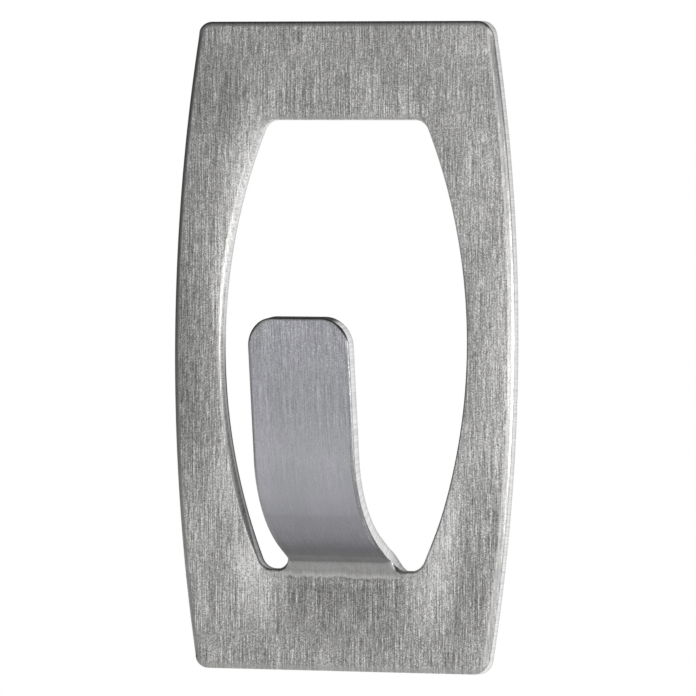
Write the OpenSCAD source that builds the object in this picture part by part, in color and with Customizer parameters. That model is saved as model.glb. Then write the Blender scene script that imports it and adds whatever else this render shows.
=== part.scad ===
// Wall hook stamped from one steel sheet, on a foam tape pad with a split release liner.
// Millimetres. X runs to the right, Z up, and the front faces -Y.
// The wall is the plane Y = 0, and the plate is centred on the Z axis.

/* [Plate] */
// Height of the plate
plate_h = 75; // [60:1:110]
// Width of the plate at mid-height, where it is widest
plate_w = 44; // [42:0.5:64]
// Width of the plate at its top and bottom edges
plate_end_w = 37.6; // [30:0.2:41]
// Radius of the plate's four corners
plate_corner_r = 1.9; // [0.5:0.1:5]
// Thickness of the steel sheet
sheet_t = 1.5; // [0.8:0.1:2]

/* [Window] */
// Height of the window, from the tongue's root to its top edge
window_h = 51.9; // [46:0.1:54]
// Height of the window's middle above the plate's middle
window_rise = 0.15; // [-1:0.05:1]
// Width of the window where it is widest
window_w = 31.7; // [26:0.1:33]
// Width of the window at its top and at its foot
window_end_w = 20.5; // [19.5:0.1:24]
// Radius of the window's corners, which also round the outer ends of the slots
window_corner_r = 1.9; // [0.5:0.1:2.5]

/* [Tongue] */
// Width of the tongue
tongue_w = 13.1; // [8:0.1:14]
// Radius that widens the tongue at each side of its root
root_fillet_r = 1.5; // [0.5:0.1:2]
// Inside radius of the bend at the root, on the front face
root_bend_r = 1.2; // [0.8:0.1:3]
// How far the root bend leans the tongue out from upright, in degrees
ramp_lean = 59; // [45:1:70]
// Length of the straight ramp between the two bends
ramp_length = 2.6; // [1:0.1:5]
// Inside radius of the hook's bend, on the wall side
hook_bend_r = 12.6; // [7:0.2:15]
// How far the upper part of the tongue still leans out, in degrees
tip_lean = 7; // [0:0.5:15]
// Length of the straight upper part of the tongue
tip_length = 16.8; // [12:0.2:20]
// Radius of the two corners at the tongue's tip
tip_corner_r = 3.4; // [0.5:0.1:4]

/* [Foam tape pad] */
// Thickness of the double-sided foam tape
foam_t = 1; // [0.5:0.1:2]
// Distance from the plate's outline in to the edge of the foam
foam_inset = 1; // [0.6:0.1:1.5]
// Radius of the foam's outer corners
foam_corner_r = 1; // [0.3:0.1:4]
// Distance from the window's edge out to the edge of the foam
foam_window_inset = 1; // [0.6:0.1:1.5]
// Radius of the corners of the foam's own window
foam_window_corner_r = 2.9; // [0.3:0.1:4]

/* [Release liner] */
// Thickness of the siliconed liner
liner_t = 0.1; // [0.06:0.01:0.2]
// Height of the slit above the plate's middle
slit_rise = 0; // [-8:0.5:8]
// Slope of the slit from left to right, in degrees
slit_slope = 0; // [0:1:30]
// Gap left between the two halves by the slit
slit_gap = 0.1; // [0.05:0.05:0.4]

/* [Hidden] */

// Steps used to draw each kind of curve
side_steps = 24;
corner_steps = 12;
bend_step_angle = 2;

// Thickness of everything behind the plate
back_t = foam_t + liner_t;
// Bottom of the window, where the tongue is bent out
root_z = window_rise - window_h / 2;
// How far cutting shapes run past what they cut
cut_over = 1;
// How far the tongue's root runs down inside the plate, to be one piece with it
root_embed = 1;
// How far a round sinks past the face it runs into, so that the two meet at an angle
round_sink = 0.04;

steel = [0.74, 0.74, 0.73];
foam_grey = [0.93, 0.93, 0.91];
liner_cream = [0.90, 0.87, 0.78];

// Curves

// Points along an arc about c, from angle a0 to angle a1
function arc_points(c, r, a0, a1, steps) =
    [for (i = [0 : steps]) let (a = a0 + (a1 - a0) * i / steps) c + r * [cos(a), sin(a)]];

// Radius of the bowed long side of a shape that is w wide in the middle and end_w at both ends
function bow_radius(w, end_w, h) =
    let (sag = (w - end_w) / 2) (h * h / 4 + sag * sag) / (2 * sag);

// Outline with straight ends, bowed long sides and corners of radius r.
// grow moves the sides and ends out, or in when it is negative.
function bowed_outline(w, end_w, h, grow, r) =
    let (
        bow_r = bow_radius(w, end_w, h),
        bow_x = bow_r - w / 2,
        side_r = bow_r + grow,
        corner_z = h / 2 + grow - r,
        corner_x = sqrt(pow(side_r - r, 2) - pow(corner_z, 2)) - bow_x,
        side_a = asin(corner_z / (side_r - r))
    )
    concat(
        arc_points([-bow_x, 0], side_r, -side_a, side_a, side_steps),
        arc_points([corner_x, corner_z], r, side_a, 90, corner_steps),
        arc_points([-corner_x, corner_z], r, 90, 180 - side_a, corner_steps),
        arc_points([bow_x, 0], side_r, 180 - side_a, 180 + side_a, side_steps),
        arc_points([-corner_x, -corner_z], r, 180 + side_a, 270, corner_steps),
        arc_points([corner_x, -corner_z], r, 270, 360 - side_a, corner_steps)
    );

// Flat shapes, drawn in X and Z

module plate_outline(grow, r) {
    polygon(bowed_outline(plate_w, plate_end_w, plate_h, grow, r));
}

module window_outline(grow, r) {
    translate([0, window_rise])
        polygon(bowed_outline(window_w, window_end_w, window_h, grow, r));
}

// Stands a flat shape up facing -Y, t thick, with its back at y
module upright(y, t) {
    translate([0, y, 0])
        rotate([90, 0, 0])
            linear_extrude(t)
                children();
}

// The tongue

// Where the tongue's front face lies before the first bend, measured out from the wall
front_out = back_t + sheet_t;

// The path of the tongue in side view: [distance out from the wall, height]
root_centre = [front_out + root_bend_r, root_z];
ramp_dir = [sin(ramp_lean), cos(ramp_lean)];
ramp_normal = [cos(ramp_lean), -sin(ramp_lean)];
ramp_foot = root_centre - (root_bend_r + sheet_t) * ramp_normal;
ramp_top = ramp_foot + ramp_length * ramp_dir;
hook_centre = ramp_top - hook_bend_r * ramp_normal;
tip_dir = [sin(tip_lean), cos(tip_lean)];
tip_normal = [cos(tip_lean), -sin(tip_lean)];
tip_foot = hook_centre + hook_bend_r * tip_normal;
tip_end = tip_foot + tip_length * tip_dir;

root_steps = ceil(ramp_lean / bend_step_angle / 2);
hook_steps = ceil((ramp_lean - tip_lean) / bend_step_angle);

// One face of the bent sheet; depth is 0 on the wall side and sheet_t on the front
function tongue_face(depth) = concat(
    [[back_t + depth, root_z - root_embed]],
    arc_points(root_centre, root_bend_r + sheet_t - depth, 180, 180 - ramp_lean, root_steps),
    arc_points(hook_centre, hook_bend_r + depth, -ramp_lean, -tip_lean, hook_steps),
    [tip_end + depth * tip_normal]
);

function reversed(list) = [for (i = [len(list) - 1 : -1 : 0]) list[i]];

// Side view of the tongue; distance out from the wall runs along -Y
function tongue_section() =
    [for (p = concat(tongue_face(sheet_t), reversed(tongue_face(0)))) [-p[0], p[1]]];

// Front view of the tongue, with its sides flaring out at the root
function tongue_front() =
    let (
        half_w = tongue_w / 2,
        flare_x = half_w + root_fillet_r,
        flare_z = root_z + root_fillet_r - round_sink,
        foot_z = root_z - root_embed,
        top_z = tip_end[1] + cut_over
    )
    concat(
        [[half_w, top_z], [-half_w, top_z]],
        arc_points([-flare_x, flare_z], root_fillet_r, 360, 270, corner_steps),
        [[-flare_x, foot_z], [flare_x, foot_z]],
        arc_points([flare_x, flare_z], root_fillet_r, 270, 180, corner_steps)
    );

// What is taken off a corner at the origin to leave it round; side is 1 right, -1 left
function corner_waste(r, side) =
    let (c = round_sink - r)
    [for (p = concat(
        arc_points([c, c], r, 0, 90, corner_steps),
        [[c, cut_over], [cut_over, cut_over], [cut_over, c]]
    )) [side * p[0], p[1]]];

// Cuts the two round corners at the tip, square to the leaning sheet
module tip_corner_cuts() {
    for (side = [-1, 1])
        translate([0, -tip_end[0], tip_end[1]])
            rotate([tip_lean, 0, 0])
                translate([side * tongue_w / 2, cut_over, 0])
                    rotate([90, 0, 0])
                        linear_extrude(sheet_t + 2 * cut_over)
                            polygon(corner_waste(tip_corner_r, side));
}

module tongue() {
    root_w = tongue_w + 2 * root_fillet_r;
    difference() {
        intersection() {
            translate([-root_w / 2, 0, 0])
                rotate([90, 0, 90])
                    linear_extrude(root_w)
                        polygon(tongue_section());
            upright(0, front_out + tip_end[0])
                polygon(tongue_front());
        }
        tip_corner_cuts();
    }
}

// The pieces

// The stamped sheet: the plate with its window, and the tongue bent up out of the window's foot
module hook_plate() {
    color(steel)
        union() {
            upright(-back_t, sheet_t)
                difference() {
                    plate_outline(0, plate_corner_r);
                    window_outline(0, window_corner_r);
                }
            tongue();
        }
}

// The double-sided foam tape, cut to a frame that stays hidden behind the plate
module foam_pad() {
    color(foam_grey)
        upright(-liner_t, foam_t)
            foam_outline();
}

module foam_outline() {
    difference() {
        plate_outline(-foam_inset, foam_corner_r);
        window_outline(foam_window_inset, foam_window_corner_r);
    }
}

// The part of the liner on one side of the slit: side is 1 above it and -1 below
module liner_half(side) {
    color(liner_cream)
        upright(0, liner_t)
            intersection() {
                foam_outline();
                slit_side(side);
            }
}

module slit_side(side) {
    reach = plate_h + plate_w;
    translate([0, slit_rise])
        rotate(-slit_slope)
            translate([-reach, side > 0 ? slit_gap / 2 : -slit_gap / 2 - reach])
                square([2 * reach, reach]);
}

module upper_liner() {
    liner_half(1);
}

module lower_liner() {
    liner_half(-1);
}

hook_plate();
foam_pad();
upper_liner();
lower_liner();
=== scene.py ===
# %% [markdown]
# # A stamped steel wall hook
#
# The hook is one piece of brushed stainless sheet: a tall plate with bowed sides, a window of the
# same form, and a tongue bent up out of the window's foot. Behind the plate, out of sight from the
# front, lie a foam tape pad and its release liner in two halves.
#
# Only the steel is modelled again here, because its rolled edges and its brushed grain need a mesh
# of their own. The foam and the liner keep the solids of the drawing and get a finish.
#
# Sizes below are in millimetres, as on the drawing, and `mm` turns them into Blender's metres.

import math
import bmesh
import bpy
from mathutils import Matrix, Vector


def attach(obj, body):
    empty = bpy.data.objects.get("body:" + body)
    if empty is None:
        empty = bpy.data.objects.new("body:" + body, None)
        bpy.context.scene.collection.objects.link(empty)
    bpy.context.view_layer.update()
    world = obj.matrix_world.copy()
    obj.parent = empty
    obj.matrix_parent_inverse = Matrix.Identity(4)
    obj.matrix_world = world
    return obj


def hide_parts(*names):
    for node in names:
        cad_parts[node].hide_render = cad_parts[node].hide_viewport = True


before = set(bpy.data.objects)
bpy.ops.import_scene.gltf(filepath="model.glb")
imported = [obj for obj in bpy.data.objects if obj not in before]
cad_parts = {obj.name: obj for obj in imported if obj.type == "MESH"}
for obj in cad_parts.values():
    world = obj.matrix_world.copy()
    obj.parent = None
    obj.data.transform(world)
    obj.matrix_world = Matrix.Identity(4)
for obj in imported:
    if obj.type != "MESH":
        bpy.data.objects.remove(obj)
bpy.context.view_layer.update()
mm = 0.001

# %% [markdown]
# ## The camera
#
# A product photograph is usually taken from over a metre away with a long lens, which keeps a
# flat part's edges nearly parallel. So the camera stands 1.3 m off, 27 degrees round to the right
# and a hair above level, and a narrow field of view fills the frame. The last small turn is a roll:
# the picture leans clockwise by a third of a degree.
#
# `to_track_quat` gives the turn that points one axis of an object along a direction. A Track To
# constraint would do the same, but it needs a target object that stays in the file.

# %% Place the camera
view_azimuth = math.radians(27.0)
view_elevation = math.radians(0.59)
view_roll = math.radians(0.346)
view_distance = 1318.7 * mm
view_target = Vector((0.06, -1.1, -0.2)) * mm
pixels_per_mm = 8.66
frame_pixels = 696
sensor_width = 36.0

toward_camera = Vector((
    math.sin(view_azimuth) * math.cos(view_elevation),
    -math.cos(view_azimuth) * math.cos(view_elevation),
    math.sin(view_elevation),
))
camera_data = bpy.data.cameras.new("camera")
camera_data.sensor_width = sensor_width
camera_data.lens = sensor_width * pixels_per_mm * (view_distance / mm) / frame_pixels
camera_data.clip_end = 20.0  # metres, past the far rim of the floor
camera = bpy.data.objects.new("camera", camera_data)
bpy.context.scene.collection.objects.link(camera)
aim = toward_camera.to_track_quat("Z", "Y").to_matrix().to_4x4()
camera.matrix_world = (
    Matrix.Translation(view_target + toward_camera * view_distance)
    @ aim
    @ Matrix.Rotation(view_roll, 4, "Z")
)
bpy.context.scene.camera = camera
print("lens:", round(camera_data.lens, 1), "mm")

# %% [markdown]
# ## Floor and room
#
# Steel has hardly any colour of its own: what we see on it is the room. A plain white world would
# make it look like white paint. So the room here is a dim grey in front, which gives the plate its
# middle grey, and dark overhead, which draws the dark line along every edge that is rounded upward.
# A white screen stands low behind the hook on the right and brightens the cut walls.
#
# Light Path tells the world and the floor which kind of ray is looking. The camera sees plain
# white. A mirror ray sees white where the screen and the floor lie behind the hook, and the grey
# room elsewhere. A ray from something matt gets one even light, so that foam and paper keep their
# own colour. The floor lies well below the hook, so that it only shows from above.

# %% Short ways to add and join nodes
def add_node(tree, kind, **settings):
    """Add a node and set its properties by name."""
    node = tree.nodes.new(kind)
    for name, value in settings.items():
        setattr(node, name, value)
    return node


def put(tree, value, socket):
    """Link the value if it comes out of a node, or else write it into the socket."""
    if isinstance(value, bpy.types.NodeSocket):
        tree.links.new(value, socket)
    else:
        socket.default_value = value


def node_math(tree, operation, *values):
    """The result of a Math node on up to three values."""
    node = add_node(tree, "ShaderNodeMath", operation=operation)
    for value, socket in zip(values, node.inputs):
        put(tree, value, socket)
    return node.outputs["Value"]


def node_mix(tree, fac, first, second, blend="MIX"):
    """The colour between two. A Mix node has hidden sockets for numbers too, so skip those."""
    node = add_node(tree, "ShaderNodeMix", data_type="RGBA", blend_type=blend)
    for name, value in (("Factor", fac), ("A", first), ("B", second)):
        put(tree, value, [i for i in node.inputs if i.name == name and i.enabled][0])
    return [o for o in node.outputs if o.enabled][0]


def grey(tone):
    return (tone, tone, tone, 1)


def sees_white(tree, behind):
    """1 for a camera ray, and for a mirror ray where `behind` is 1."""
    rays = add_node(tree, "ShaderNodeLightPath").outputs
    mirror_ray = node_math(tree, "MAXIMUM", rays["Is Glossy Ray"], rays["Is Transmission Ray"])
    mirrored = node_math(tree, "MULTIPLY", mirror_ray, behind)
    return node_math(tree, "MAXIMUM", rays["Is Camera Ray"], mirrored)


def ramp_stops(ramp, stops):
    """Fill a colour ramp with (position, grey) or (position, colour) stops."""
    elements = ramp.color_ramp.elements
    while len(elements) > 1:
        elements.remove(elements[-1])
    for i, (position, tone) in enumerate(stops):
        element = elements[0] if i == 0 else elements.new(position)
        element.position = position
        element.color = (*tone, 1) if isinstance(tone, tuple) else grey(tone)


print("node helpers ready")

# %% Floor
bpy.context.scene.view_settings.view_transform = "Standard"
floor_z, floor_radius = -700 * mm, 7500 * mm
floor_mesh = bpy.data.meshes.new("floor")
floor_build = bmesh.new()
bmesh.ops.create_circle(floor_build, cap_ends=True, segments=96, radius=floor_radius)
bmesh.ops.translate(floor_build, verts=floor_build.verts, vec=(0, 0, floor_z))
floor_build.to_mesh(floor_mesh)
floor_build.free()
floor = bpy.data.objects.new("floor", floor_mesh)
bpy.context.scene.collection.objects.link(floor)
print("floor:", round(floor_z, 2), "m from the hook's middle")

# %% Finish of the floor
floor_white = 0.34  # what the lit floor lacks to render white
floor_paint = bpy.data.materials.new("pale floor")
floor_paint.use_nodes = True
under = floor_paint.node_tree
floor_shader = under.nodes["Principled BSDF"]
floor_shader.inputs["Base Color"].default_value = grey(0.92)
floor_shader.inputs["Roughness"].default_value = 0.95
floor_shader.inputs["Specular IOR Level"].default_value = 0.1
floor_shader.inputs["Emission Color"].default_value = grey(1)
floor_place = add_node(under, "ShaderNodeSeparateXYZ")
put(under, add_node(under, "ShaderNodeTexCoord").outputs["Object"], floor_place.inputs["Vector"])
behind_wall = node_math(under, "GREATER_THAN", floor_place.outputs["Y"], 0.0)
put(under, node_math(under, "MULTIPLY", sees_white(under, behind_wall), floor_white),
    floor_shader.inputs["Emission Strength"])
floor.data.materials.append(floor_paint)
print("floor: white to the camera,", len(under.nodes), "nodes")

# %% Tones of the room
world = bpy.data.worlds.new("studio")
bpy.context.scene.world = world
world.use_nodes = True
world.cycles.sampling_method = "NONE"
sky = world.node_tree
sky.nodes.clear()
look_way = add_node(sky, "ShaderNodeTexCoord").outputs["Generated"]
way = add_node(sky, "ShaderNodeSeparateXYZ")
put(sky, look_way, way.inputs["Vector"])


def tone_along(axis, stops):
    """A grey that changes along one axis of the room, given as (direction, grey) stops."""
    spread = add_node(sky, "ShaderNodeMapRange")
    spread.inputs["From Min"].default_value = -1.0
    spread.inputs["From Max"].default_value = 1.0
    put(sky, way.outputs[axis], spread.inputs["Value"])
    ramp = add_node(sky, "ShaderNodeValToRGB")
    ramp_stops(ramp, [((d + 1) / 2, tone) for d, tone in stops])
    put(sky, spread.outputs["Result"], ramp.inputs["Fac"])
    return ramp.outputs["Color"]


def tone_around(direction, stops):
    """A grey by how nearly the view points along `direction`: 1 is straight along it."""
    along = add_node(sky, "ShaderNodeVectorMath", operation="DOT_PRODUCT")
    put(sky, look_way, along.inputs[0])
    along.inputs[1].default_value = direction
    ramp = add_node(sky, "ShaderNodeValToRGB")
    ramp_stops(ramp, stops)
    put(sky, along.outputs["Value"], ramp.inputs["Fac"])
    return ramp.outputs["Color"]


sideways = tone_along("X", [(-1.0, 0.02), (-0.5, 0.03), (0.0, 0.05), (0.5, 0.2)])
rear = tone_along("Y", [(0.0, 0.0), (0.3, 1.0)])
overhead = tone_along("Z", [(0.35, 0.0), (0.7, 1.0)])
rear_tone, front_ceiling, rear_ceiling = grey(0.08), grey(0.03), grey(0.22)
walls = node_mix(sky, rear, sideways, rear_tone)
ceiling = node_mix(sky, rear, front_ceiling, rear_ceiling)
room = node_mix(sky, overhead, walls, ceiling)
print("room: grey in front, dark overhead,", len(sky.nodes), "nodes")

# %% The white screen, and who sees it
screen_azimuth = math.radians(160)
screen_way = Vector((math.sin(screen_azimuth), -math.cos(screen_azimuth), -0.1)).normalized()
screen = node_mix(
    sky, 1.0, tone_around(screen_way, [(0.75, 0.0), (0.87, 1.0)]),
    tone_along("Z", [(0.0, 1.0), (0.15, 0.0)]), "MULTIPLY")
matt_light = grey(0.72)
rays = add_node(sky, "ShaderNodeLightPath").outputs
seen = node_mix(sky, sees_white(sky, screen), room, grey(1))
seen = node_mix(sky, rays["Is Diffuse Ray"], seen, matt_light)
background = add_node(sky, "ShaderNodeBackground")
put(sky, seen, background.inputs["Color"])
put(sky, background.outputs["Background"],
    add_node(sky, "ShaderNodeOutputWorld").inputs["Surface"])
print("screen: towards", [round(c, 2) for c in screen_way])

# %% [markdown]
# ## Lamps
#
# Two soft boxes light the hook. The key box stands beside the camera, far off, and lights the whole
# front evenly. The side box is smaller, near, and far to the right: it is what every edge rounded
# to the right shows as a bright line. A sun lamp would be simpler, but it has no size, and steel
# would show it as a dot. An area lamp's watts grow with its size, so the power is worked out from
# the brightness that the box should have, where 1 is paper white.
#
# Where the boxes stand and how bright they are comes from a fit. Candidate lights were rendered one
# by one, and a least-squares solver weighed them against the mean tones of the photo's regions. Its
# answer was rounded and merged into these two. The room's tones were changed since then.

# %% Lamps
def soft_box(name, place, wide, high, brightness):
    """An area lamp at `place`, turned to face the hook; mm, and a brightness of 1 is white."""
    lamp = bpy.data.lights.new(name, "AREA")
    lamp.shape = "RECTANGLE"
    lamp.size, lamp.size_y = wide * mm, high * mm
    lamp.energy = brightness * math.pi * lamp.size * lamp.size_y
    box = bpy.data.objects.new(name, lamp)
    where = Vector(place) * mm
    turn = where.to_track_quat("Z", "Y").to_matrix().to_4x4()
    box.matrix_world = Matrix.Translation(where) @ turn
    box.visible_camera = False
    bpy.context.scene.collection.objects.link(box)
    print(name + ":", round(lamp.energy, 2), "W")


def around(azimuth, elevation, distance):
    """A place in mm; azimuth is from straight in front, towards the right."""
    a, e = math.radians(azimuth), math.radians(elevation)
    level = distance * math.cos(e)
    return level * math.sin(a), -level * math.cos(a), distance * math.sin(e)


soft_box("key box", around(4, 0, 1600), wide=672, high=448, brightness=3.7)
soft_box("side box", around(73, -1, 380), wide=190, high=130, brightness=6.8)

# %% [markdown]
# ## The sheet: one flat blank
#
# A press makes the hook from flat sheet in two goes: it punches the blank, then bends the tongue.
# The model follows the same order, because the punch is what rounds the front edges and the bend
# is much easier to see as a bend of something flat. The blank's outline is drawn with a pen that
# only knows two moves, a straight line and an arc. The arc is Blender's spin operator turning a
# single vertex about a centre, so the drawing's own radii are all it needs.
#
# A curve object could draw the same outline, but its handles only come close to a true arc, and it
# would have to be made a mesh before the punch could round its edges.

# %% Sizes of the blank
plate_h, plate_w, plate_end_w, plate_corner_r = 75.0, 44.0, 37.6, 1.9
window_h, window_rise, window_w, window_end_w, window_corner_r = 51.9, 0.15, 31.7, 20.5, 1.9
sheet_t, foam_t, liner_t = 1.5, 1.0, 0.1
back_y = -(foam_t + liner_t)
front_y = back_y - sheet_t
tongue_w, root_fillet_r, tip_corner_r = 13.0, 1.8, 3.4
root_bend_r, ramp_lean, ramp_length = 1.2, math.radians(59), 2.6
hook_bend_r, tip_lean, tip_length = 12.6, math.radians(7), 16.5

root_z = window_rise - window_h / 2
root_arc = root_bend_r * ramp_lean
hook_arc = hook_bend_r * (ramp_lean - tip_lean)
tongue_length = root_arc + ramp_length + hook_arc + tip_length
print("tongue, flat:", round(tongue_length, 2), "mm long")


# %% A pen that draws lines and arcs
class Pen:
    """Draws one closed outline in the plane of the sheet's back; x and z in mm."""

    def __init__(self, build, start):
        self.build = build
        self.first = self.tip = build.verts.new((start[0] * mm, back_y * mm, start[1] * mm))

    def line(self, x, z):
        made = bmesh.ops.extrude_vert_indiv(self.build, verts=[self.tip])
        self.tip = made["verts"][0]
        self.tip.co = Vector((x, back_y, z)) * mm

    def arc(self, x, z, turn, steps):
        """Turn about (x, z) by `turn`; positive is counter-clockwise seen from the front."""
        made = bmesh.ops.spin(
            self.build, geom=[self.tip], cent=Vector((x, back_y, z)) * mm, axis=(0, -1, 0),
            dvec=(0, 0, 0), angle=turn, steps=steps, use_duplicate=False,
        )
        self.tip = [g for g in made["geom_last"] if isinstance(g, bmesh.types.BMVert)][0]

    def close(self):
        """Join the ends, and merge what an arc and the next line both put in one place."""
        self.build.edges.new((self.tip, self.first))
        bmesh.ops.remove_doubles(self.build, verts=self.build.verts, dist=0.004 * mm)


# %% Numbers of a bowed outline
def bowed(w, end_w, h, r):
    """Side radius, how far its centre is past the middle, corner centre, angle at the corner."""
    sag = (w - end_w) / 2
    side_r = (h * h / 4 + sag * sag) / (2 * sag)
    corner_z = h / 2 - r
    corner_x = math.sqrt((side_r - r) ** 2 - corner_z ** 2) - (side_r - w / 2)
    return side_r, side_r - w / 2, corner_x, corner_z, math.asin(corner_z / (side_r - r))


print("radius of the long sides:", round(bowed(plate_w, plate_end_w, plate_h, 0)[0], 1), "mm")

# %% Draw the plate's outline
blank = bmesh.new()
side_steps, corner_steps, tip_steps = 40, 14, 18
quarter = math.pi / 2
side_r, bow_x, corner_x, corner_z, side_a = bowed(plate_w, plate_end_w, plate_h, plate_corner_r)
pen = Pen(blank, (side_r * math.cos(side_a) - bow_x, -side_r * math.sin(side_a)))
pen.arc(-bow_x, 0, 2 * side_a, side_steps)
pen.arc(corner_x, corner_z, quarter - side_a, corner_steps)
pen.line(-corner_x, plate_h / 2)
pen.arc(-corner_x, corner_z, quarter - side_a, corner_steps)
pen.arc(bow_x, 0, 2 * side_a, side_steps)
pen.arc(-corner_x, -corner_z, quarter - side_a, corner_steps)
pen.line(corner_x, -plate_h / 2)
pen.arc(corner_x, -corner_z, quarter - side_a, corner_steps)
pen.close()
print("plate outline:", len(blank.edges), "edges")

# %% Draw the window, round the flat tongue
side_r, bow_x, corner_x, corner_z, side_a = bowed(window_w, window_end_w, window_h, window_corner_r)
half_w = tongue_w / 2
flare_x = half_w + root_fillet_r
tip_z = root_z + tongue_length
mid_z = window_rise
pen = Pen(blank, (side_r * math.cos(side_a) - bow_x, mid_z - side_r * math.sin(side_a)))
pen.arc(-bow_x, mid_z, 2 * side_a, side_steps)
pen.arc(corner_x, mid_z + corner_z, quarter - side_a, corner_steps)
pen.line(-corner_x, mid_z + window_h / 2)
pen.arc(-corner_x, mid_z + corner_z, quarter - side_a, corner_steps)
pen.arc(bow_x, mid_z, 2 * side_a, side_steps)
pen.arc(-corner_x, mid_z - corner_z, quarter - side_a, corner_steps)
pen.line(-flare_x, root_z)
pen.arc(-flare_x, root_z + root_fillet_r, quarter, corner_steps)
pen.line(-half_w, tip_z - tip_corner_r)
pen.arc(-half_w + tip_corner_r, tip_z - tip_corner_r, -quarter, tip_steps)
pen.line(half_w - tip_corner_r, tip_z)
pen.arc(half_w - tip_corner_r, tip_z - tip_corner_r, -quarter, tip_steps)
pen.line(half_w, root_z + root_fillet_r)
pen.arc(flare_x, root_z + root_fillet_r, quarter, corner_steps)
pen.line(corner_x, root_z)
pen.arc(corner_x, mid_z - corner_z, quarter - side_a, corner_steps)
pen.close()
print("with the window:", len(blank.edges), "edges")

# %% [markdown]
# ## Thickness
#
# Filling between the two outlines gives the back of the sheet, and extruding that face forward
# gives the front and the walls in one go. A Solidify modifier would do the same, but its edges
# could not be picked for rounding until it was applied.

# %% Fill and extrude
bmesh.ops.triangle_fill(
    blank, use_beauty=True, use_dissolve=False, edges=blank.edges[:], normal=(0, -1, 0))
raised = bmesh.ops.extrude_face_region(blank, geom=blank.faces[:])
front_verts = [g for g in raised["geom"] if isinstance(g, bmesh.types.BMVert)]
bmesh.ops.translate(blank, verts=front_verts, vec=(0, -sheet_t * mm, 0))
bmesh.ops.recalc_face_normals(blank, faces=blank.faces[:])
print("sheet volume", round(blank.calc_volume() / mm ** 3, 1), "mm3")

# %% [markdown]
# ## Rolled edges
#
# A punch drags the steel down with it before it cuts, so the front edges come out rolled over and
# the back ones nearly sharp. The roll is not the same all round: 0.7 mm wide and 0.5 mm deep on
# the long outer sides, narrow and deep on the window's sides, and very thin on the straight ends,
# at the window's foot and at the tongue's tip.
#
# A Bevel modifier would round every edge alike. Here the bevel operator makes a round of even width
# on the edges that are picked. Then its points move in depth alone, so that the roll keeps its
# width and gets the depth that each place needs. A hair of a bevel breaks the back edges. All of it
# goes on while the blank is flat, where every edge is easy to pick.

# %% Pick the edges to round
inner_half_w, inner_half_h = 17, 30  # a box with the whole window in it, and none of the rim


def rim(y):
    """The edges where the flat face at depth y meets a wall."""
    def on_plane(edge):
        return all(abs(v.co.y - y * mm) < 0.0001 * mm for v in edge.verts)

    def has_wall(edge):
        return any(abs(f.normal.y) < 0.5 for f in edge.link_faces)

    return [e for e in blank.edges if on_plane(e) and has_wall(e)]


def is_outer_place(x, z):
    return abs(z) > inner_half_h or abs(x) > inner_half_w


def is_outer(edge):
    middle = (edge.verts[0].co + edge.verts[1].co) / 2 / mm
    return is_outer_place(middle.x, middle.z)


window_rim = [e for e in rim(front_y) if not is_outer(e)]
print("edges round the window and the tongue:", len(window_rim))

# %% Round them over
rim_roll, window_roll, edge_break = 0.7, 0.4, 0.05


def round_over(edges, size, steps):
    bmesh.ops.bevel(
        blank, geom=edges, offset=size * mm, offset_type="OFFSET", segments=steps, profile=0.5,
        affect="EDGES", clamp_overlap=False, material=-1,
    )


round_over(window_rim, window_roll, 7)
round_over([e for e in rim(front_y) if is_outer(e)], rim_roll, 8)
print("rounded:", len(blank.faces), "faces")

# %% Give each roll its depth
rim_drop, end_drop = 0.5, 0.12
window_drop, tongue_drop, foot_drop = 0.8, 0.3, 0.14
end_from = 35.8  # height at which the rim's roll starts to thin towards a straight end
slot_blend = 1.5  # mm over which the tongue's roll becomes the window's
foot_from, foot_blend = 1.0, 6.0  # mm above the foot where the roll starts to grow, how far
tip_from, tip_blend = 1.2, 1.0  # mm below the tip where the roll starts to thin, how far


def ease(t):
    """0 to 1, level at both ends."""
    t = min(1.0, max(0.0, t))
    return t * t * (3 - 2 * t)


def roll_at(x, z):
    """Width and depth of the roll at a place on the blank, and 1 where it is thin."""
    if is_outer_place(x, z):
        thin = ease(abs(z) - end_from)
        return rim_roll, rim_drop + (end_drop - rim_drop) * thin, thin
    drop = tongue_drop + (window_drop - tongue_drop) * ease((abs(x) - flare_x) / slot_blend)
    in_slot, on_tip = abs(x) > flare_x - 0.1, abs(x) < half_w and z < tip_z + 1
    foot = 1 - ease((z - root_z - foot_from) / foot_blend) if in_slot else 0.0
    tip = ease((z - tip_z + tip_from) / tip_blend) if on_tip else 0.0
    thin = max(foot, tip)
    return window_roll, drop + (foot_drop - drop) * thin, thin


for vert in blank.verts:
    x, y, z = vert.co / mm
    roll, drop, thin = roll_at(x, z)
    if front_y < y < front_y + roll + 0.0001:
        bias = 1 + 0.5 * thin  # above 1 keeps a thin roll close to the face for longer
        vert.co.y = (front_y + drop * ((y - front_y) / roll) ** bias) * mm
round_over(rim(back_y), edge_break, 2)
print("roll beside the window:", roll_at(window_w / 2, 0)[:2], "mm wide and deep")

# %% [markdown]
# ## Support ring and crown
#
# Smooth shading blends the directions of neighbouring faces, so the big flat face would tilt its
# shading towards the round edges. A thin inset ring just inside the rim stops that, as a support
# loop does in any hard-surface model.
#
# The press also leaves the sheet a little crowned: it falls back by a tenth of a millimetre near
# its cut edges. Steel shows even that, as a slow change of grey. A lattice of cuts gives the flat
# face enough points to take this form.

# %% Support ring and a lattice on the front face
level, upright = 0.9999, 0.05  # a normal's y is more than the first on a face, less on a wall
support_inset, lattice_step = 0.03, 2.5
on_cut = 0.001 * mm  # a point this near a cut counts as on it
brushed_slot, rolled_slot, sheared_slot = 0, 1, 2

for face in blank.faces:
    slant = abs(face.normal.y)
    face.material_index = (
        sheared_slot if slant < upright else rolled_slot if slant < level else brushed_slot)


def front_faces():
    return [f for f in blank.faces if f.normal.y < -level]


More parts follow.
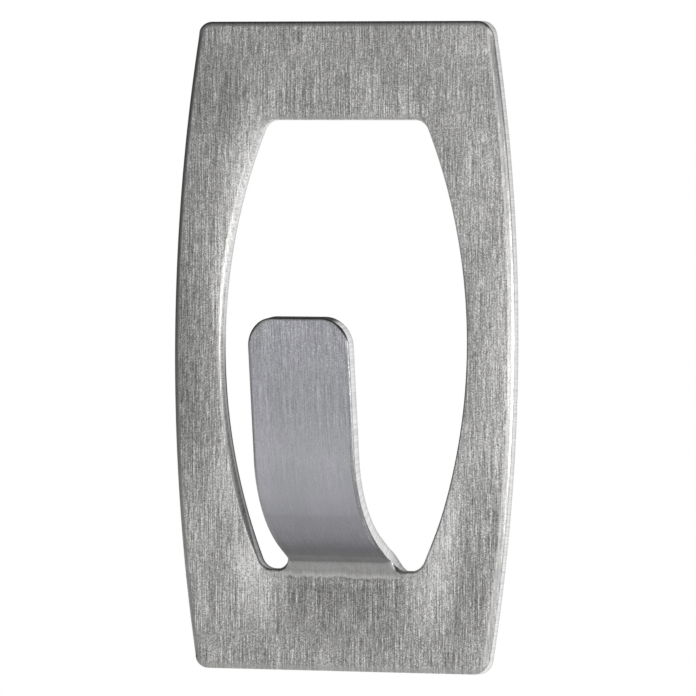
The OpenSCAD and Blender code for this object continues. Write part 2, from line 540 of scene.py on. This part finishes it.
def parts_of(faces):
    """The faces with their edges and points, each once, as the bisect operator wants them."""
    edges = [e for f in faces for e in f.edges]
    verts = [v for f in faces for v in f.verts]
    return list(dict.fromkeys([*faces, *edges, *verts]))


def cut_front(place, across):
    bmesh.ops.bisect_plane(
        blank, geom=parts_of(front_faces()), dist=on_cut, plane_co=Vector(place) * mm,
        plane_no=across)


bmesh.ops.inset_region(
    blank, faces=front_faces(), thickness=support_inset * mm, use_even_offset=True,
    use_boundary=True)
for i in range(-8, 9):
    cut_front((i * lattice_step, 0, 0), (1, 0, 0))
for i in range(-14, 15):
    cut_front((0, 0, i * lattice_step), (0, 0, 1))
print("lattice:", len(blank.faces), "faces")

# %% Crown the sheet
crown_width, crown_rim, crown_end, crown_window = 3.0, 0.1, 0.02, 0.1


def from_outline(x, z, w, end_w, h):
    """How far a point lies inside the straight ends and the bowed sides of an outline."""
    outline_r, outline_x = bowed(w, end_w, h, plate_corner_r)[:2]
    return outline_r - math.hypot(abs(x) + outline_x, z), h / 2 - abs(z)


def crown(x, z):
    """How far the front face falls back at a point, near the rim and near the window."""
    in_side, in_end = from_outline(x, z, plate_w, plate_end_w, plate_h)
    fall = crown_rim * max(0, 1 - max(0, in_side) / crown_width) ** 3
    fall += crown_end * max(0, 1 - max(0, in_end) / crown_width) ** 3
    win_side, win_end = from_outline(x, z - mid_z, window_w, window_end_w, window_h)
    out = math.hypot(min(0, win_side), min(0, win_end))
    if abs(x) < flare_x or max(win_side, win_end) < 0:
        out = max(out, -win_end)
    off_tongue = ease((abs(x) - flare_x) / slot_blend) if z < tip_z + 3 else 1.0
    return fall + crown_window * max(0, 1 - out / crown_width) ** 3 * off_tongue


for vert in blank.verts:
    x, y, z = vert.co / mm
    from_back = (back_y - y) / sheet_t
    vert.co.y += crown(x, z) * from_back * mm
print("crowned by", round(crown(-flare_x - 2, root_z), 3), "mm at the window's foot")

# %% [markdown]
# ## Bending the tongue
#
# A bend is many small folds. The bisect operator scores a line across the tongue for each fold,
# then everything past a line turns by one small angle about that line, and so on up the tongue.
# The fold line lies on the inside of the bend, which keeps its length while the outside stretches:
# the front face is inside at the root, and the wall side is inside in the hook.
#
# A Simple Deform modifier could bend the tongue too, but only to one even curve. This tongue has
# two bends of different radius, one each way, with straight pieces between and after them.

# %% Score the fold lines
root_folds, hook_folds = 16, 32
first_fold = 0.02


def fold_heights(start, length, folds):
    return [start + length * (i + 0.5) / folds for i in range(folds)]


root_lines = fold_heights(first_fold, root_arc, root_folds)
hook_start = first_fold + root_arc + ramp_length
hook_end = hook_start + hook_arc
hook_lines = fold_heights(hook_start, hook_arc, hook_folds)
guard_lines = [hook_start - 0.1, hook_end + 0.4, hook_end + 1.2]  # keep the straights straight


def is_tongue(face):
    """True past the root line; the plate above the window is left out."""
    middle = face.calc_center_median() / mm
    return abs(middle.x) < flare_x + 0.3 and root_z + 0.01 < middle.z < tip_z + 0.5


def score(height, geom):
    """Cut a line across at a height above the root."""
    bmesh.ops.bisect_plane(
        blank, geom=geom, dist=on_cut, plane_co=(0, 0, (root_z + height) * mm),
        plane_no=(0, 0, 1))


score(first_fold, blank.faces[:] + blank.edges[:] + blank.verts[:])
for height in sorted(root_lines + hook_lines + guard_lines):
    score(height, parts_of([f for f in blank.faces if is_tongue(f)]))
print("scored:", len(blank.faces), "faces")

# %% [markdown]
# ## A map of the flat sheet
#
# The steel was brushed while it was flat, so its scratches follow it through the bends. The UV map
# `flat` keeps where every point lay on the flat sheet, in millimetres. Three attributes hold one
# number for each point: `depth` runs from 0 on the back to 1 on the front, `tongue` rises from 0 to
# 1 over the tongue's lower part, and the third is 1 on the window's lower walls, where painted
# shade goes. They are written before the fold, while a point's place still tells all this.

# %% Keep the flat places as a map
flat_map = blank.loops.layers.uv.new("flat")
depth_layer = blank.verts.layers.float.new("depth")
tongue_layer = blank.verts.layers.float.new("tongue")
wall_shade_layer = blank.verts.layers.float.new("wall_shade")
for face in blank.faces:
    face.smooth = True
    for loop in face.loops:
        loop[flat_map].uv = (loop.vert.co.x / mm, loop.vert.co.z / mm)
wall_shade_from, wall_shade_blend, wall_shade_top = -4, 8, 0.05  # the window's upper walls get hardly any painted shade
for vert in blank.verts:
    x, y, z = vert.co / mm
    vert[depth_layer] = (back_y - y) / sheet_t
    unshaded = ease((z - wall_shade_from) / wall_shade_blend)
    vert[wall_shade_layer] = 0.0 if is_outer_place(x, z) else 1.0 - (1.0 - wall_shade_top) * unshaded

tongue_verts = list(dict.fromkeys(v for f in blank.faces if is_tongue(f) for v in f.verts))
for vert in tongue_verts:
    above_root = vert.co.z / mm - root_z
    vert[wall_shade_layer] = 0.0
    vert[tongue_layer] = min(1.0, max(0.0, above_root / (hook_start + 1.0)))
print("flat map kept, tongue points:", len(tongue_verts))

# %% Fold
flat_point = {v: v.co.copy() / mm for v in tongue_verts}
line_width = 0.003


def fold(height, turn, inside_y):
    """Turn all that lies past a scored line about the line's inside edge."""
    def to_inside(vert):
        """Distance to that edge. Ties go by place: the points' order changes from run to run."""
        x, y, z = flat_point[vert]
        return abs(y - inside_y), x, z

    above = {v: flat_point[v].z - root_z - height for v in tongue_verts}
    on_line = [v for v in tongue_verts if abs(above[v]) < line_width]
    past = [v for v in tongue_verts if above[v] >= line_width]
    hinge = min(on_line, key=to_inside).co.copy()
    bmesh.ops.rotate(blank, verts=past, cent=hinge, matrix=Matrix.Rotation(turn, 3, "X"))
    bmesh.ops.rotate(blank, verts=on_line, cent=hinge, matrix=Matrix.Rotation(turn / 2, 3, "X"))


for height in root_lines:
    fold(height, ramp_lean / root_folds, front_y)
for height in hook_lines:
    fold(height, -(ramp_lean - tip_lean) / hook_folds, back_y)
tip_point = max(tongue_verts, key=lambda v: (v.co.z, v.co.x)).co / mm
print("tip:", [round(c, 2) for c in tip_point], "mm")

# %% Hand the sheet to the scene
plate_mesh = bpy.data.meshes.new("brushed plate")
blank.to_mesh(plate_mesh)
blank.free()
sharp_angle = math.radians(40)
plate_mesh.set_sharp_from_angle(angle=sharp_angle)
brushed_plate = bpy.data.objects.new("brushed_plate", plate_mesh)
bpy.context.scene.collection.objects.link(brushed_plate)
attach(brushed_plate, "hook")
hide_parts("hook_plate")
print("brushed plate:", len(plate_mesh.polygons), "faces")

# %% [markdown]
# ## Brushed steel
#
# Brushing draws thousands of fine scratches along the sheet. They are too small to model, and a
# picture of steel would repeat and blur close up, so the material makes them from noise. It follows
# the flat map, and so the scratches run up the plate and on through both bends of the tongue. Each
# noise is stretched by a Mapping node: narrow across the scratches, long along them.
#
# Scratches also smear every highlight crosswise. Anisotropic does that, and the Tangent node tells
# it, from the same map, which way the scratches run.

# %% A small kit for material nodes
class Paint:
    """A material and short ways to add and join its nodes."""

    def __init__(self, name):
        self.material = bpy.data.materials.new(name)
        self.material.use_nodes = True
        self.tree = self.material.node_tree
        self.shader = self.tree.nodes["Principled BSDF"]

    def add(self, kind, output, inputs=None, **settings):
        """Add a node, fill its named inputs and give back the named output."""
        node = add_node(self.tree, kind, **settings)
        for name, value in (inputs or {}).items():
            put(self.tree, value, node.inputs[name])
        return node.outputs[output]

    def set(self, **values):
        for name, value in values.items():
            put(self.tree, value, self.shader.inputs[name.replace("_", " ")])

    def attribute(self, name):
        return self.add("ShaderNodeAttribute", "Fac", attribute_name=name)

    def place(self, source, scale, shift=(0, 0, 0)):
        """Coordinates, stretched; source is a UV map's name or 'Object'."""
        if source == "Object":
            start = self.add("ShaderNodeTexCoord", "Object")
        else:
            start = self.add("ShaderNodeUVMap", "UV", uv_map=source)
        return self.add(
            "ShaderNodeMapping", "Vector", {"Vector": start, "Scale": scale, "Location": shift})

    def noise(self, vector, detail=2.0, roughness=0.5, distortion=0.0):
        return self.add("ShaderNodeTexNoise", "Fac", {
            "Vector": vector, "Scale": 1.0, "Detail": detail, "Roughness": roughness,
            "Distortion": distortion})

    def split(self, vector):
        node = add_node(self.tree, "ShaderNodeSeparateXYZ")
        put(self.tree, vector, node.inputs["Vector"])
        return node.outputs["X"], node.outputs["Y"], node.outputs["Z"]

    def math(self, operation, *values):
        return node_math(self.tree, operation, *values)

    def mix(self, fac, first, second, blend="MIX"):
        return node_mix(self.tree, fac, first, second, blend)

    def spread(self, value, low, high, to_low=0.0, to_high=1.0, kind="LINEAR"):
        return self.add("ShaderNodeMapRange", "Result", {
            "Value": value, "From Min": low, "From Max": high, "To Min": to_low,
            "To Max": to_high}, interpolation_type=kind)

    def soft(self, value, low, high, to_low=0.0, to_high=1.0):
        """Like spread, but it starts and stops gently."""
        return self.spread(value, low, high, to_low, to_high, "SMOOTHSTEP")

    def ramp(self, fac, stops):
        node = add_node(self.tree, "ShaderNodeValToRGB")
        ramp_stops(node, stops)
        put(self.tree, fac, node.inputs["Fac"])
        return node.outputs["Color"]

    def bump(self, height, strength, distance):
        return self.add("ShaderNodeBump", "Normal", {
            "Height": height, "Strength": strength, "Distance": distance})

    def tangent(self, uv_map):
        return self.add(
            "ShaderNodeTangent", "Tangent", direction_type="UV_MAP", uv_map=uv_map)


print("paint kit ready")


# %% The brushed grain
def speckle(paint, wide, high):
    """A random grey for every little tile of the flat sheet, wide x high in mm."""
    tiles = add_node(paint.tree, "ShaderNodeVectorMath", operation="FLOOR")
    put(paint.tree, paint.place("flat", (1 / wide, 1 / high, 1)), tiles.inputs[0])
    return paint.add("ShaderNodeTexWhiteNoise", "Value", {"Vector": tiles.outputs["Vector"]},
                     noise_dimensions="2D")


def brushed_grain(paint):
    """Long scratches, short ones and fine speckle, mixed to a grey about 0.5."""
    long_share, short_share, speckle_share = 0.43, 0.39, 0.18
    long_place = paint.place("flat", (9.0, 0.12, 1))
    short_place = paint.place("flat", (10.0, 0.6, 1), (5, 50, 0))
    long_lines = paint.noise(long_place, detail=1, distortion=0.2)
    short_lines = paint.noise(short_place, detail=1, distortion=0.2)
    grain = paint.math("MULTIPLY", long_lines, long_share)
    grain = paint.math("MULTIPLY_ADD", short_lines, short_share, grain)
    return paint.math("MULTIPLY_ADD", speckle(paint, 0.12, 0.11), speckle_share, grain)


def brushed_tone(paint, grain, contrast):
    """A brightness about 1 that swings with the grain, in steps of twice and half."""
    swing = paint.math("MULTIPLY", paint.math("SUBTRACT", grain, 0.5), contrast)
    return paint.math("POWER", 2.0, swing)


print("grain ready")

# %% [markdown]
# ## Painted highlights and shade on the face
#
# The brushed face has slow light and dark places: brighter beside the window and along the right
# side, duller in between. They are painted highlights and painted shade, standing in for the slow
# changes in what the steel mirrors. Press tools burnish a sheet in such places, so they are made as
# marks of the press. That is a guess: the lamps of the real studio may be the cause instead.
#
# Each spot is a soft ellipse, a spherical gradient placed and stretched by a Mapping node. Places
# and gains were changed until the render's mean tones came close to the photo's. Together
# they take the brightness from about 0.77 to 1.73 times the plain steel. An even cloud of noise
# would be quicker, but it wouldn't put the tones where the photo has them.

# %% Burnished and dull places
def spot(paint, x, z, wide, high, tilt):
    """1 at a place on the flat sheet, fading softly to 0 at the rim of a tilted ellipse."""
    flat = paint.add("ShaderNodeUVMap", "UV", uv_map="flat")
    moved = paint.add("ShaderNodeMapping", "Vector", {
        "Vector": flat, "Location": (x, z, 0), "Rotation": (0, 0, math.radians(tilt)),
        "Scale": (wide, high, 1)}, vector_type="TEXTURE")
    ball = paint.add("ShaderNodeTexGradient", "Fac", {"Vector": moved}, gradient_type="SPHERICAL")
    return paint.soft(ball, 0.0, 1.0)


def painted_light_spots(paint):
    """Painted highlights and shade, a factor on brightness. A spot: x, z, half width, half height
    (mm), tilt, gain.
    """
    painted_tones = [
        (-14.4, 14.0, 3.0, 15.0, -12, 0.62), (-12.4, 23.0, 4.2, 8.0, -20, 0.4),
        (-13.8, -19.0, 3.6, 13.0, 15, 0.55), (-10.8, -26.0, 4.6, 9.0, 14, 0.5),
        (12.2, -26.0, 4.6, 9.0, -12, 0.5), (15.4, -13.0, 3.0, 9.0, -12, 0.3),
        (21.0, -1.0, 5.5, 20.0, 0, 0.36), (15.5, 35.0, 8.0, 6.0, 0, 0.2),
        (17.0, 19.0, 5.0, 12.0, -10, 0.25), (-19.0, -22.0, 4.0, 12.0, 0, 0.15),
        (-4.0, 27.5, 9.0, 4.0, 0, -0.14), (-21.5, 6.0, 6.0, 22.0, 0, -0.2),
        (15.8, -30.0, 3.2, 9.0, -8, -0.22), (-20.0, -9.0, 4.5, 7.0, 0, -0.1),
        (13.4, -20.5, 2.4, 7.0, -15, 0.4), (-16.0, 28.0, 9.0, 14.0, 0, -0.17),
        (17.5, -24.0, 5.0, 7.0, 0, -0.14),
    ]
    total = 1.0
    for x, z, wide, high, tilt, gain in painted_tones:
        total = paint.math("MULTIPLY_ADD", spot(paint, x, z, wide, high, tilt), gain, total)
    return total


print("press marks ready")

# %% [markdown]
# The tongue is bent, so each part of it mirrors another part of the room. In this studio its lower
# part mirrors the pale floor and would render paler than in the photo. A ramp along the flat sheet
# takes its brightness down there, to 0.65, as painted shade, and up above, as painted highlight.
# The same ramp paints a dull patch of shade under the root, where the tongue shades the plate, and
# a highlight in the bright, wavering line that ends it.
# the root and the bright, wavering line that ends it, as if a bending bar had held the sheet there.
#
# The numbers were changed, render after render, until each row of the picture was about as
# light as in the photo. So part of this is shade painted into the colour. It suits this light and
# stays when the light changes. The truer way would be to change the floor and the lamps instead.

# %% Painted shade and highlight of the bend
waver_mm = 0.9
painted_bend_tones = [  # height above the root on the flat sheet in mm, and brightness there
    (-12.0, 1.0), (-8.0, 0.88), (-3.5, 0.75), (-1.5, 0.71), (-1.2, 0.85), (-0.95, 0.88),
    (-0.7, 0.74), (-0.45, 0.78), (-0.3, 1.24), (-0.1, 1.14), (0.1, 0.92), (0.35, 0.83),
    (1.6, 0.96), (2.7, 1.03), (3.0, 0.84), (5.4, 0.65), (7.1, 0.66), (7.3, 0.68),
    (9.5, 0.8), (9.8, 0.88), (12.0, 1.04), (16.0, 1.12), (21.0, 1.03), (26.0, 0.99),
    (32.0, 0.97),
]


def flat_place(paint):
    """How far to the right and how high a point lies on the flat sheet, in mm."""
    return paint.split(paint.add("ShaderNodeUVMap", "UV", uv_map="flat"))[:2]


def inside_bend(paint, across, along, level):
    """1 on the tongue and the painted dull patch under it, which is wider and has a softer rim."""
    below = paint.soft(level, root_z - 0.4, root_z - 1.9)
    outer = paint.math("MULTIPLY_ADD", below, 1.6, half_w + 1.4)
    inner = paint.math("MULTIPLY_ADD", below, -2.2, half_w + 0.6)
    inside = paint.soft(paint.math("ABSOLUTE", across), outer, inner)
    return paint.math("MULTIPLY", inside, paint.math("LESS_THAN", along, tip_z + 0.5))


def painted_bend_shade(paint):
    """Painted shade and highlight as a factor on brightness along the bend, and 1 past the bright
    line.
    """
    across, along = flat_place(paint)
    waver = paint.noise(paint.place("flat", (0.9, 0.05, 1), (7, 3, 0)), roughness=0.6)
    level = paint.math("MULTIPLY_ADD", waver, waver_mm, along)
    inside = inside_bend(paint, across, along, level)
    low, high = painted_bend_tones[0][0], painted_bend_tones[-1][0]
    stops = [((up - low) / (high - low), tone / 2) for up, tone in painted_bend_tones]
    half_tone = paint.ramp(paint.spread(level, root_z + low, root_z + high), stops)
    change = paint.math("MULTIPLY_ADD", half_tone, 2.0, -1.0)
    past_line = paint.math("MULTIPLY", paint.soft(level, root_z - 0.6, root_z - 0.3), inside)
    return paint.math("MULTIPLY_ADD", change, inside, 1.0), past_line


print("bend tones:", len(painted_bend_tones))

# %% [markdown]
# ## Three finishes for one sheet
#
# The faces are brushed: strong scratches on the plate and faint ones on the tongue, with a few
# painted glints near its tip. The photo doesn't show the back, which is given weaker scratches.
#
# Base Color is one plain grey of steel, a little bluer on the tongue, times a brightness for the
# scratches, the painted highlights and shade of the face, and the painted shade and highlight of
# the bend. A plain metal would leave all of that to what it mirrors.

# %% Strength of the grain on the brushed faces
steel = Paint("brushed steel")
grain = brushed_grain(steel)
along = flat_place(steel)[1]
front = steel.attribute("depth")
bend_shade_tone, past_line = painted_bend_shade(steel)
plate_contrast, back_swing, front_swing, tongue_top = 0.8, 3.5, 8.4, 32
tongue_contrast = steel.ramp(steel.spread(along, root_z, root_z + tongue_top), [
    (0.0, 0.18), (0.06, 0.12), (0.36, 0.06), (0.5, 0.14), (0.65, 0.25), (0.85, 0.34), (1.0, 0.44)])
contrast = steel.mix(past_line, grey(plate_contrast), tongue_contrast)
contrast = steel.math(
    "MULTIPLY", contrast, steel.spread(front, 0.0, 1.0, back_swing, front_swing))
print("grain:", len(steel.tree.nodes), "nodes")

# %% Brightness of the brushed faces
blotches = steel.noise(steel.place("flat", (0.16, 0.07, 1), (3, 9, 0)))
# Painted highlights and shade of the face, times the painted shade and highlight of the bend.
painted_tones = steel.math("MULTIPLY", painted_light_spots(steel), bend_shade_tone)
painted_tones = steel.math("MULTIPLY_ADD", steel.math("SUBTRACT", painted_tones, 1.0), front, 1.0)
# Painted glints: a few bright specks in the colour near the tongue's tip.
glint_share, glint_gain = 0.06, 0.3
painted_glints = steel.math("GREATER_THAN", speckle(steel, 0.16, 0.13), 1 - glint_share)
near_tip = steel.soft(along, tip_z - 9, tip_z - 0.5)
painted_glints = steel.math("MULTIPLY", painted_glints, steel.math("MULTIPLY", near_tip, past_line))
tone = brushed_tone(steel, grain, contrast)
tone = steel.math("MULTIPLY", tone, steel.spread(blotches, 0.3, 0.7, 0.95, 1.05))
tone = steel.math("MULTIPLY", tone, painted_tones)
tone = steel.math("MULTIPLY_ADD", painted_glints, glint_gain, tone)
print("grain and marks:", len(steel.tree.nodes), "nodes")

# %% Colour and gloss of the brushed faces
plate_grey = (0.492, 0.488, 0.48, 1)
tongue_cool, tongue_blue = (0.475, 0.48, 0.495, 1), (0.478, 0.477, 0.52, 1)
along_scratches, scratch_relief = 0.75, 0.02 * mm
tongue_colour = steel.mix(steel.spread(blotches, 0.35, 0.65), tongue_cool, tongue_blue)
steel_colour = steel.mix(steel.attribute("tongue"), plate_grey, tongue_colour)
steel.set(
    Base_Color=steel.mix(1.0, steel_colour, tone, "MULTIPLY"), Metallic=1.0,
    Anisotropic=along_scratches, Tangent=steel.tangent("flat"),
    Roughness=steel.spread(grain, 0.3, 0.7, 0.6, 0.5),
    Normal=steel.bump(grain, 0.15, scratch_relief),
)
plate_mesh.materials.append(steel.material)
print("brushed faces set")

# %% [markdown]
# The rolled edges are the same steel with its scratches drawn out by the punch. They are smoother,
# with less grain, so they mirror the side box as a bright line and the dark ceiling as a dark one.
#
# The outer walls are pale from front to back, and the window's walls are pale only next to the
# front and nearly black behind. The `depth` attribute runs through two colour ramps, and a mask
# of painted shade chooses between them. The dark of the window's lower walls is painted shade,
# where the tongue shades them and they mirror the dark ceiling. The real cause isn't known. The
# wall of the tongue's tip, which is mixed towards black, is painted shade too.

# %% Rolled edges
# The tongue's rolled edges are painted darker than the plate's: painted shade.
rolled_swing, rolled_grey, rolled_tongue_shade = 3.0, (0.48, 0.477, 0.47, 1), (0.34, 0.342, 0.35, 1)
rolled = Paint("rolled edge")
rolled_grain = brushed_grain(rolled)
# The same painted highlights and shade lie on the rolled edges.
rolled_tone = rolled.math(
    "MULTIPLY", brushed_tone(rolled, rolled_grain, rolled_swing), painted_light_spots(rolled))
rolled_colour = rolled.mix(rolled.attribute("tongue"), rolled_grey, rolled_tongue_shade)
rolled.set(
    Base_Color=rolled.mix(1.0, rolled_colour, rolled_tone, "MULTIPLY"), Metallic=1.0,
    Anisotropic=along_scratches, Tangent=rolled.tangent("flat"),
    Roughness=rolled.spread(rolled_grain, 0.3, 0.7, 0.44, 0.36),
)
plate_mesh.materials.append(rolled.material)
print("rolled edges set")

# %% Sheared walls
sheared = Paint("sheared wall")
hatch = sheared.noise(
    sheared.place("flat", (5, 5, 1), (9, 2, 0)), detail=3, roughness=0.7)
depth = sheared.attribute("depth")
unshaded_wall_tone = sheared.ramp(depth, [(0.0, 0.66), (0.2, 0.78), (0.34, 0.86), (0.8, 0.86)])
# Painted shade: the window's lower walls are darker, nearly black at the back.
shaded_wall_tone = sheared.ramp(
    depth, [(0.0, 0.03), (0.15, 0.05), (0.24, 0.36), (0.5, 0.52), (0.9, 0.56)])
wall_colour = sheared.mix(sheared.attribute("wall_shade"), unshaded_wall_tone, shaded_wall_tone)
wall_colour = sheared.mix(
    1.0, wall_colour, sheared.spread(hatch, 0.35, 0.65, 0.8, 1.15), "MULTIPLY")
# Painted shade: the wall of the tongue's tip is mixed nearly to black, where it faces the dark
# ceiling.
on_tip = sheared.soft(flat_place(sheared)[1], tip_z - 0.8, tip_z - 0.2, 0.0, 0.9)
on_tip = sheared.math("MULTIPLY", on_tip, sheared.attribute("tongue"))
dull = sheared.math("MAXIMUM", sheared.attribute("tongue"), sheared.attribute("wall_shade"))
sheared.set(
    Base_Color=sheared.mix(on_tip, wall_colour, grey(0)),
    Metallic=sheared.spread(dull, 0, 1, 0.5, 0.22),
    Roughness=sheared.spread(hatch, 0.3, 0.7, 0.5, 0.62),
    Normal=sheared.bump(hatch, 0.3, 0.03 * mm),
)
plate_mesh.materials.append(sheared.material)
print("sheared walls set")

# %% [markdown]
# ## Foam tape and its liner
#
# The tape is closed-cell foam. Its cut side shows as a pale line behind the plate's edge, and close
# up that line is a row of cells sliced open. Real holes would take a mesh far too heavy for a strip
# one millimetre wide, so a Voronoi texture gives the cells: larger ones for the colour, and the
# walls between small ones for the bump. The solids from the drawing are right as they are, so they
# only get a finish, on Object coordinates.

# %% Foam
def cells(paint, per_metre, shift, feature):
    """Distances in a Voronoi pattern with so many cells to the metre."""
    place = paint.place("Object", (per_metre,) * 3, shift)
    return paint.add(
        "ShaderNodeTexVoronoi", "Distance", {"Scale": 1.0, "Vector": place}, feature=feature)


foam = Paint("closed-cell foam")
cell_walls = cells(foam, 3200, (0, 0, 0), "DISTANCE_TO_EDGE")
cell_size = cells(foam, 1500, (3, 1, 7), "F1")
foam_cloud = foam.noise(foam.place("Object", (150, 150, 150)), detail=3, roughness=0.6)
open_cell = foam.spread(cell_walls, 0.0, 0.35)
foam_colour = foam.ramp(cell_size, [
    (0.0, (0.68, 0.68, 0.66)), (0.35, (0.77, 0.77, 0.75)), (0.8, (0.84, 0.84, 0.825))])
cell_shade = (0.5, 0.5, 0.485, 1)
foam_colour = foam.mix(foam.spread(open_cell, 0.2, 1.0, 0.0, 0.35), foam_colour, cell_shade)
foam_colour = foam.mix(1.0, foam_colour, foam.spread(foam_cloud, 0.3, 0.7, 0.9, 1.05), "MULTIPLY")
foam.set(
    Base_Color=foam_colour, Roughness=foam.spread(cell_size, 0.0, 0.8, 0.95, 0.8),
    Normal=foam.bump(foam.math("SUBTRACT", 1.0, open_cell), 0.6, 0.08 * mm),
)
print("foam set")

# %% [markdown]
# The liner is thin paper with a silicone coat, which gives it a soft sheen. Long paper fibres lie
# in it at every angle. One round noise would look like cloud, so two are stretched in two
# directions and laid over a slow cloud. On its thin cut side the coat ends and the pale paper core
# shows.

# %% Liner
def is_face(paint):
    """1 on faces that lie flat against the wall or away from it, 0 on the thin cut sides."""
    across = paint.split(paint.add("ShaderNodeTexCoord", "Normal"))[1]
    return paint.math("GREATER_THAN", paint.math("ABSOLUTE", across), 0.7)


liner = Paint("siliconed paper")
up_place = liner.place("Object", (5200, 5200, 700))
cross_place = liner.place("Object", (600, 5200, 4300), (2, 8, 5))
fibres = liner.noise(up_place, roughness=0.6, distortion=0.6)
cross_fibres = liner.noise(cross_place, roughness=0.6, distortion=0.6)
liner_cloud = liner.noise(
    liner.place("Object", (110, 110, 110), (4, 4, 1)), detail=4, roughness=0.6)
felt = liner.math("MULTIPLY_ADD", cross_fibres, 0.45, liner.math("MULTIPLY", fibres, 0.55))
liner_colour = liner.ramp(felt, [
    (0.3, (0.66, 0.61, 0.50)), (0.5, (0.72, 0.67, 0.56)), (0.7, (0.77, 0.72, 0.61))])
liner_colour = liner.mix(
    1.0, liner_colour, liner.spread(liner_cloud, 0.3, 0.7, 0.9, 1.06), "MULTIPLY")
paper_core = (0.82, 0.8, 0.75, 1)
liner_colour = liner.mix(is_face(liner), paper_core, liner_colour)
liner.set(
    Base_Color=liner_colour, Roughness=liner.spread(felt, 0.3, 0.7, 0.52, 0.36),
    Normal=liner.bump(felt, 0.25, 0.03 * mm),
)
print("liner set")


# %% Put the finishes on the solids
def finish_node(name, paint):
    """Put a material into every slot of a solid."""
    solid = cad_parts[name]
    if not solid.material_slots:
        solid.data.materials.append(paint.material)
    for slot in solid.material_slots:
        slot.material = paint.material


finish_node("foam_pad", foam)
finish_node("upper_liner", liner)
finish_node("lower_liner", liner)
print("foam and liner finished")
